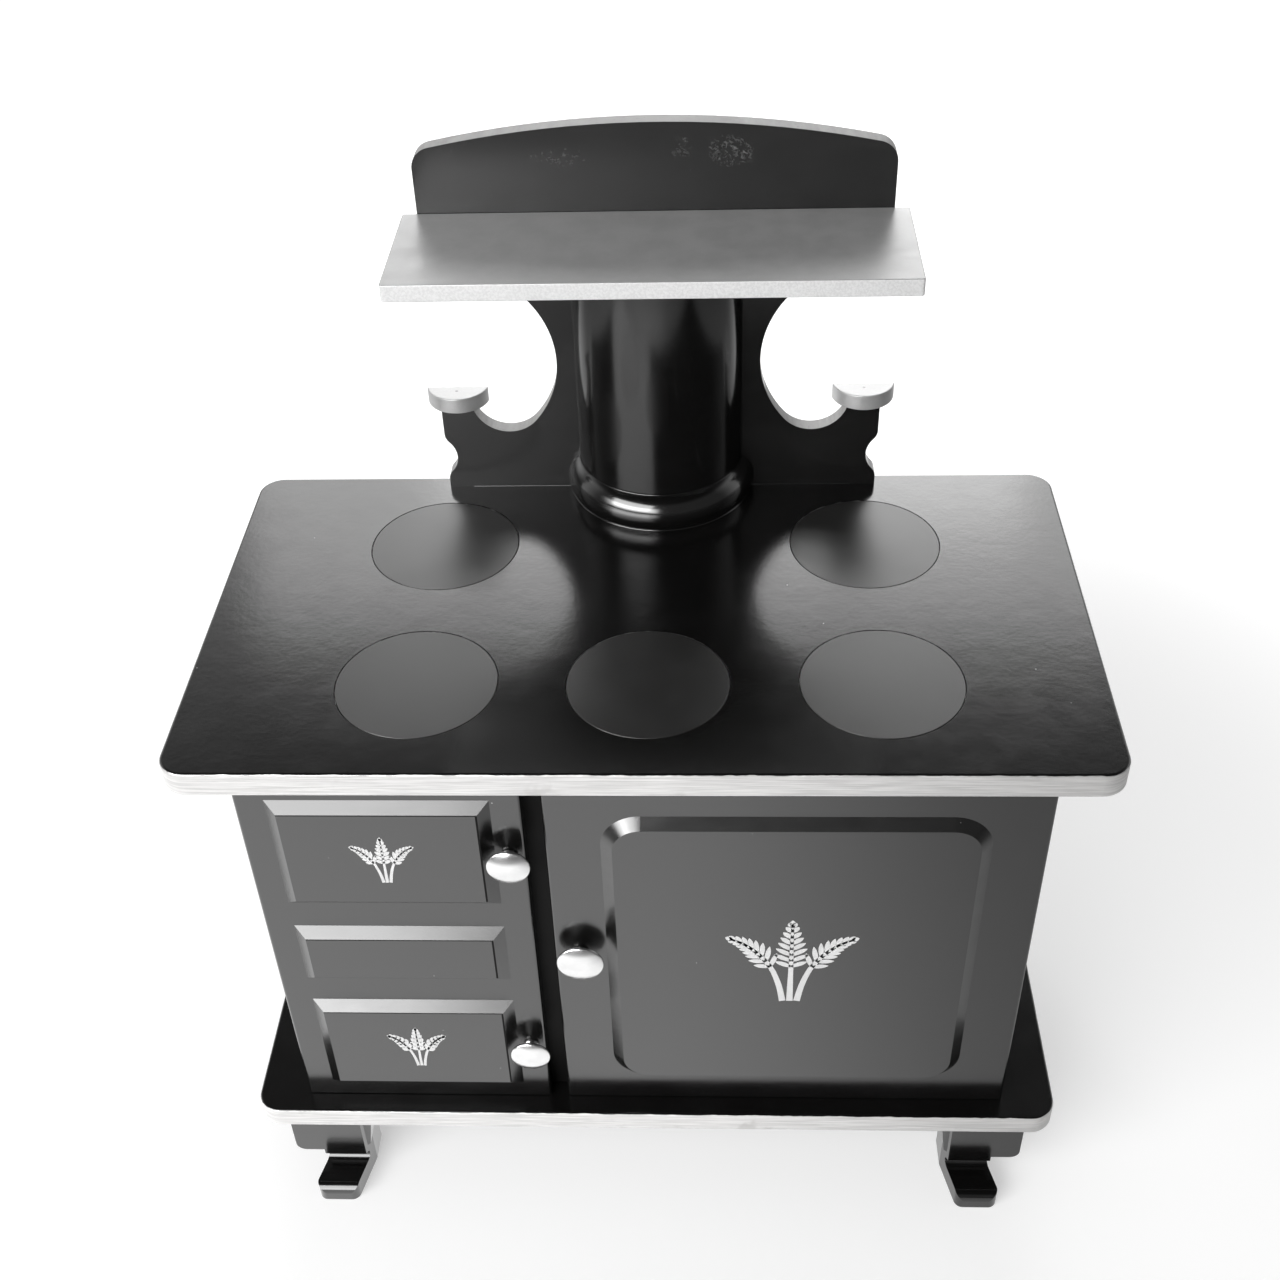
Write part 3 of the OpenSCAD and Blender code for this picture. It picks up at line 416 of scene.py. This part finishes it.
def sprig(name, body, centre, size, pairs, fat, face):
    """Three leafy ears on stalks that meet at the foot, as a thin film of paint on a raised field.

    centre is the middle of the foot and size the width and height, in mm. The ears are drawn 64 wide and 57
    high and then scaled. pairs is the number of pairs of leaves on an ear, and fat their width. The leaves of
    an ear get shorter and lean closer to the stalk towards its tip, where a single leaf ends it.
    """
    drawn_w, drawn_h, film, stalk_foot, stalk_tip = 64, 57, 0.06, 3.4, 1.2
    bm = bmesh.new()
    middle = [(0, 0), (0, 14), (0, 28), (0, 42), (0, 55)]
    outer = [(3.7, 0), (5.9, 11.8), (9.6, 23.0), (14.2, 30.8), (19.0, 36.5), (24.5, 41.2), (30.5, 44.3)]
    ribbon(bm, middle, stalk_foot, stalk_tip)
    for s in (-1, 1):
        ribbon(bm, [(s * x, z) for x, z in outer], stalk_foot, stalk_tip)
    for k in range(pairs):
        share = k / (pairs - 1)
        root, heading = along(middle, 0.45 + 0.5 * share)
        length = 10.2 * (1 - 0.68 * share ** 1.6) * (0.86 if k == 0 else 1)
        for s in (-1, 1):
            leaf(bm, root, heading + s * math.radians(66 - 24 * share), length, fat * 26.0 / pairs)
    leaf(bm, (0, 52.5), math.pi / 2, 5.2, 3.0)
    for s in (-1, 1):
        path = [(s * x, z) for x, z in outer]
        for k in range(pairs):
            share = k / (pairs - 1)
            root, heading = along(path, 0.37 + 0.56 * share)
            for low in (-1, 1):
                reach = (11.4 if low == 1 else 9.4) * (1 - 0.60 * share ** 1.3) * (0.9 if k == 0 else 1)
                turn = s * low * math.radians((46 if low == 1 else 56) - 22 * share)
                leaf(bm, root, heading + turn, reach, fat * 25.0 / pairs)
        tip, heading = along(path, 0.97)
        leaf(bm, tip, heading, 4.0, 2.8)
    for sheet in bm.faces:
        sheet.normal_update()
        if sheet.normal.z < 0:
            sheet.normal_flip()
    made = bmesh.ops.extrude_face_region(bm, geom=bm.faces[:])["geom"]
    raised = [v for v in made if isinstance(v, bmesh.types.BMVert)]
    bmesh.ops.translate(bm, verts=raised, vec=(0, 0, film / size[1] * drawn_h))
    across, upright = size[0] / drawn_w * MM, size[1] / drawn_h * MM
    bmesh.ops.scale(bm, verts=bm.verts, vec=(across, upright, upright))
    turned(bm, bm.verts, math.pi / 2, "X")
    bmesh.ops.translate(bm, verts=bm.verts, vec=(centre[0] * MM, face, centre[1] * MM))
    return finished(bm, name, stencil, body)


field_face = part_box("left_door")[0].y
sprig("upper_sprig", "left_door", (-114.5, 233.3), (27.5, 28.7), pairs=7, fat=1.12, face=field_face)
sprig("lower_sprig", "left_door", (-114.8, 97.9), (28, 30), pairs=6, fat=1.45, face=field_face)
sprig("oven_sprig", "oven_door", (67.0, 151.4), (58.5, 57), pairs=8, fat=0.86, face=field_face)


# ---------- turned knobs ----------

def arc(mid, radius, start, end, steps=8):
    """Round stretch of a profile; angles in degrees, 0 away from the axis and 90 to the front."""
    turns = [math.radians(start + (end - start) * i / steps) for i in range(steps + 1)]
    return [(mid[0] + radius * math.cos(a), mid[1] + radius * math.sin(a)) for a in turns]


def turned_knob(node, body):
    """Turned knob in place of the plain one: foot bead, neck, round rim and a low dome."""
    low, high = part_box(node)
    radius, front = (high.x - low.x) / 2 / MM, (high.y - low.y) / MM
    neck, bead, rim, rim_depth, rim_back = 3.0, 0.9, 0.9, 3.05, -62
    rim_mid = (radius - rim, front - rim_depth)
    rise = front - rim_mid[1]
    dome = (rim_mid[0] ** 2 + rise ** 2 - rim ** 2) / (2 * (rise - rim))
    slope = math.degrees(math.asin(rim_mid[0] / (dome - rim)))
    profile = arc((0, front - dome), dome, 90, 90 - slope)
    profile += arc(rim_mid, rim, 90 - slope, rim_back, 14)[1:]
    profile += [(neck + 0.5, bead * 2 + 1.0)]
    profile += arc((neck, bead), bead, 80, -80) + [(neck, 0), (0, 0)]
    bm = bmesh.new()
    ring = [bm.verts.new((max(x, 0.0) * MM, -out * MM, 0)) for x, out in profile]
    edges = [bm.edges.new(pair) for pair in zip(ring, ring[1:])]
    spun(bm, ring + edges, (0, 0, 0), (0, 1, 0), 2 * math.pi, 72)
    bmesh.ops.translate(bm, verts=bm.verts, vec=((low.x + high.x) / 2, high.y, (low.z + high.z) / 2))
    piece = finished(bm, node + "_turned", knob_silver, body, smooth=True)
    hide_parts(node)


turned_knob("upper_knob", "left_door")
turned_knob("lower_knob", "left_door")
turned_knob("oven_knob", "oven_door")


# ---------- beads of lacquer in the corners ----------

def lacquer_beads():
    """Thin beads of lacquer where the collar and the backboard meet the worktop, and on top of the collar."""
    top, board_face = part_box("worktop")[1].z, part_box("backboard")[0].y
    collar_low, collar_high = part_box("flue_collar")
    middle, flue_y = (collar_low.x + collar_high.x) / 2, 108 * MM
    foot_ring, top_ring = (45.9 * MM, top, 0.5 * MM), (41.3 * MM, collar_high.z - 0.1 * MM, 0.4 * MM)
    start, end, thick = 46.5 * MM, 96.5 * MM, 0.45 * MM
    bm = bmesh.new()
    for radius, z, bead in (foot_ring, top_ring):
        made = bmesh.ops.create_circle(bm, segments=10, radius=bead)["verts"]
        turned(bm, made, math.pi / 2, "X")
        bmesh.ops.translate(bm, verts=made, vec=(middle - radius, flue_y, z))
        rim = list({edge for v in made for edge in v.link_edges})
        spun(bm, made + rim, (middle, flue_y, z), (0, 0, 1), math.pi, 64)
    for side in (-1, 1):
        place = Matrix.Translation((middle + side * (start + end) / 2, board_face, top))
        bmesh.ops.create_cone(bm, cap_ends=True, segments=10, radius1=thick, radius2=thick,
                              depth=end - start, matrix=place @ Matrix.Rotation(math.pi / 2, 4, "Y"))
    bmesh.ops.holes_fill(bm, edges=[edge for edge in bm.edges if edge.is_boundary])
    finished(bm, "lacquer_beads", gloss, "stove", smooth=True)


lacquer_beads()


# ---------- painted shade lines on the left door ----------
def field_shade_lines():
    """Painted shade: fine dark strips on the left door where the top and right bevels of its three fields
    begin, standing in for the shade and dark reflections there.
    """
    left, right, face_y, thick, top_w, side_w = -158.05, -70.45, -103.7, 0.16, 0.6, 0.9
    bm = bmesh.new()
    for low, high in ((84.3, 139.9), (166.3, 193.9), (220.3, 275.9)):
        foot, head = low + 0.3, high - top_w - 0.1
        top_line = ((left + right) / 2, face_y, high - top_w / 2), (right - left, thick, top_w)
        side_line = (right - side_w / 2, face_y, (foot + head) / 2), (side_w, thick, head - foot)
        for place, size in (top_line, side_line):
            line = bmesh.ops.create_cube(bm, size=MM)["verts"]
            bmesh.ops.scale(bm, verts=line, vec=size)
            bmesh.ops.translate(bm, verts=line, vec=Vector(place) * MM)
    bmesh.ops.bevel(bm, geom=bm.edges[:], offset=0.03 * MM, affect="EDGES", segments=1, profile=0.5,
                    material=-1)
    finished(bm, "left_door_field_shade_lines", thin, "left_door")


field_shade_lines()


# ---------- screws with a cross in the head ----------

def solid_boxes(node):
    """Low and high corner of each separate solid of a CAD node."""
    bm = bmesh.new()
    bm.from_mesh(nodes[node].data)
    bmesh.ops.remove_doubles(bm, verts=bm.verts, dist=1e-7)
    waiting, boxes = set(bm.verts), []
    while waiting:
        solid = [waiting.pop()]
        for v in solid:
            for edge in v.link_edges:
                other = edge.other_vert(v)
                if other in waiting:
                    waiting.remove(other)
                    solid.append(other)
        boxes.append([Vector(pick(v.co[i] for v in solid) for i in range(3)) for pick in (min, max)])
    bm.free()
    return sorted(boxes, key=lambda box: tuple(box[0]))


def crossed_screw(length):
    """Mesh of a countersunk screw with a cross cut in its head, whose face is at the origin and faces +Z."""
    head, shank, head_h, point = 3.0 * MM, 1.5 * MM, 2.2 * MM, 2.0 * MM
    arm, half, deep, taper = 1.8 * MM, 0.375 * MM, 1.2 * MM, 0.45
    bm = bmesh.new()
    profile = ((0, 0), (head, 0), (shank, -head_h), (shank, point - length), (0, -length))
    line = [bm.verts.new((x, 0, z)) for x, z in profile]
    edges = [bm.edges.new(pair) for pair in zip(line, line[1:])]
    spun(bm, line + edges, (0, 0, 0), (0, 0, 1), 2 * math.pi, 32)
    bmesh.ops.remove_doubles(bm, verts=bm.verts, dist=1e-7)
    bmesh.ops.recalc_face_normals(bm, faces=bm.faces)
    screw = bpy.data.meshes.new("screw")
    bm.to_mesh(screw)
    bm.clear()
    corner, outline = [(arm, -half), (arm, half), (half, half)], []
    for _ in range(4):
        outline += corner
        corner = [(-y, x) for x, y in corner]
    top = bm.faces.new([bm.verts.new((x, y, deep)) for x, y in outline])
    made = bmesh.ops.extrude_face_region(bm, geom=[top], use_keep_orig=True)["geom"]
    foot = [v for v in made if isinstance(v, bmesh.types.BMVert)]
    bmesh.ops.scale(bm, verts=foot, vec=(taper, taper, -1))
    bmesh.ops.recalc_face_normals(bm, faces=bm.faces)
    cross = bpy.data.meshes.new("cross")
    bm.to_mesh(cross)
    bm.free()
    cutter, blank = (bpy.data.objects.new(mesh.name, mesh) for mesh in (cross, screw))
    for item in (cutter, blank):
        bpy.context.scene.collection.objects.link(item)
    cut = blank.modifiers.new("cross", "BOOLEAN")
    cut.object, cut.operation, cut.solver = cutter, "DIFFERENCE", "EXACT"
    bpy.context.view_layer.update()
    done = bpy.data.meshes.new_from_object(blank.evaluated_get(bpy.context.evaluated_depsgraph_get()))
    for item in (cutter, blank):
        bpy.data.objects.remove(item)
    return done


def crossed_screws(node, facing):
    """Crossed screws in place of a node's plain ones; facing is the side on which their heads show.

    Each head is turned by its own angle, in degrees.
    """
    first_turn, next_turn = 23, 41
    bm = bmesh.new()
    facing = Vector(facing)
    tilt = Vector((0, 0, 1)).rotation_difference(facing).to_matrix().to_4x4()
    for k, (low, high) in enumerate(solid_boxes(node)):
        length = max(high - low)
        head = (low + high) / 2 + facing * length / 2
        before = len(bm.verts)
        bm.from_mesh(crossed_screw(length))
        bm.verts.ensure_lookup_table()
        turn = Matrix.Rotation(math.radians(first_turn + next_turn * k), 4, "Z")
        place = Matrix.Translation(head) @ tilt @ turn
        bmesh.ops.transform(bm, verts=bm.verts[before:], matrix=place)
    piece = finished(bm, node + "_crossed", screw_steel, "stove")
    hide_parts(node)


for node in ("backboard_screws", "base_screws"):
    crossed_screws(node, (0, 0, -1))
for node in ("warming_shelf_screws", "flue_screws"):
    crossed_screws(node, (0, 1, 0))


# ---------- studio ----------

def look_camera():
    """Camera at the photograph's place and angle."""
    data = bpy.data.cameras.new("camera")
    data.lens = 45.16
    data.sensor_width = 36
    data.clip_start = 0.02
    camera = bpy.data.objects.new("camera", data)
    right, up, back = (0.99906, 0.03196, -0.02942), (0.00239, 0.63574, 0.77190), (0.04338, -0.77124, 0.63506)
    turn = Matrix((right, up, back)).transposed().to_4x4()
    camera.matrix_world = Matrix.Translation((0.02967, -0.58497, 0.76969)) @ turn
    bpy.context.scene.collection.objects.link(camera)
    bpy.context.scene.camera = camera


def softbox(name, centre, target, width, height, radiance):
    """Area lamp of an even radiance that faces a point; the camera doesn't see it."""
    data = bpy.data.lights.new(name, "AREA")
    data.shape = "RECTANGLE"
    data.size, data.size_y = width, height
    data.energy = radiance * math.pi * width * height
    lamp = bpy.data.objects.new(name, data)
    lamp.location = centre
    lamp.rotation_euler = (Vector(target) - Vector(centre)).to_track_quat("-Z", "Y").to_euler()
    lamp.visible_camera = False
    bpy.context.scene.collection.objects.link(lamp)


def pale_floor():
    """Pale sheet that is white in the picture, and bright in gloss at the front left and behind.

    Its patterns go by metres from the middle of the stove.
    """
    material = bpy.data.materials.new("pale_floor")
    floor = Patterns(material)
    floor.tree.nodes.clear()
    path = floor.add("ShaderNodeLightPath").outputs
    place = floor.add("ShaderNodeTexCoord").outputs["Object"]
    reach = floor.add("ShaderNodeVectorMath", {0: place}, operation="LENGTH").outputs["Value"]
    to_left = floor.ramp(floor.axis(place, "X"), 0.26, -0.02, 0.1, 1.0)
    in_front = floor.both(to_left, floor.ramp(reach, 0.55, 0.80, 1.0, 0.0))
    behind = floor.ramp(floor.axis(place, "Y"), 0.30, 0.80)
    in_gloss = floor.both(path["Is Glossy Ray"], floor.reckon("MAXIMUM", in_front, behind))
    in_picture = floor.both(path["Is Camera Ray"], floor.ramp(reach, 0.4, 1.0, 0.45, 1.0))
    tone = floor.blend(floor.ramp(reach, 0.60, 0.95), grey(0.62), grey(0.3))
    sheet = floor.add("ShaderNodeBsdfDiffuse", {"Color": tone})
    glow = floor.add("ShaderNodeEmission", {"Strength": floor.reckon("ADD", in_gloss, in_picture)})
    lit = floor.add("ShaderNodeAddShader", {0: sheet.outputs[0], 1: glow.outputs[0]})
    floor.add("ShaderNodeOutputMaterial", {"Surface": lit.outputs[0]})
    return material


def studio_air():
    """White background in the picture and, low behind the stove, in gloss; a plain dim fill on the object.

    Gloss also shows a bright window low at the front left. The patterns go by the direction looked in.
    """
    fill, window_light = 0.28, 9.0
    world = bpy.data.worlds.new("studio")
    bpy.context.scene.world = world
    air = Patterns(world)
    air.tree.nodes.clear()
    path = air.add("ShaderNodeLightPath").outputs
    way = air.add("ShaderNodeTexCoord").outputs["Generated"]
    x, y, z = (air.axis(way, name) for name in "XYZ")
    low = air.ramp(z, 0.52, 0.70, 1.0, 0.06)
    behind = air.ramp(y, -0.25, 0.25, 0.15, 1.0)
    upright = air.both(air.ramp(z, 0.02, 0.12), air.ramp(z, 0.30, 0.42, 1.0, 0.0))
    leftward = air.both(air.ramp(x, -0.95, -0.75), air.ramp(x, -0.15, 0.0, 1.0, 0.0))
    window = air.both(upright, leftward, air.ramp(y, -0.40, -0.20, window_light, 0.0))
    in_gloss = air.between(path["Is Glossy Ray"], fill, air.reckon("ADD", air.both(low, behind), window))
    strength = air.between(path["Is Camera Ray"], in_gloss, 1.0)
    shade = air.add("ShaderNodeBackground", {"Color": (1, 1, 1, 1), "Strength": strength})
    air.add("ShaderNodeOutputWorld", {"Surface": shade.outputs[0]})


def studio():
    """Floor, air and soft lamps: one at the front left and two behind."""
    floor_radius, below = 6.0, 0.2 * MM
    bm = bmesh.new()
    bmesh.ops.create_circle(bm, cap_ends=True, segments=96, radius=floor_radius)
    bmesh.ops.translate(bm, verts=bm.verts, vec=(0, 0, -below))
    mesh = bpy.data.meshes.new("floor")
    bm.to_mesh(mesh)
    bm.free()
    floor = bpy.data.objects.new("floor", mesh)
    bpy.context.scene.collection.objects.link(floor)
    mesh.materials.append(pale_floor())
    studio_air()
    softbox("front_left", (-0.883, -1.186, 0.978), (-0.05, -0.1, 0.25), width=1.41, height=0.83, radiance=8.0)
    softbox("backdrop_wide", (0.03, 1.35, 0.80), (0.0, 0.0, 0.30), width=1.30, height=1.05, radiance=2.2)
    softbox("backdrop_core", (0.06, 1.34, 0.74), (0.0, 0.0, 0.30), width=0.80, height=0.80, radiance=2.4)


look_camera()
studio()
bpy.context.scene.view_settings.view_transform = "Standard"
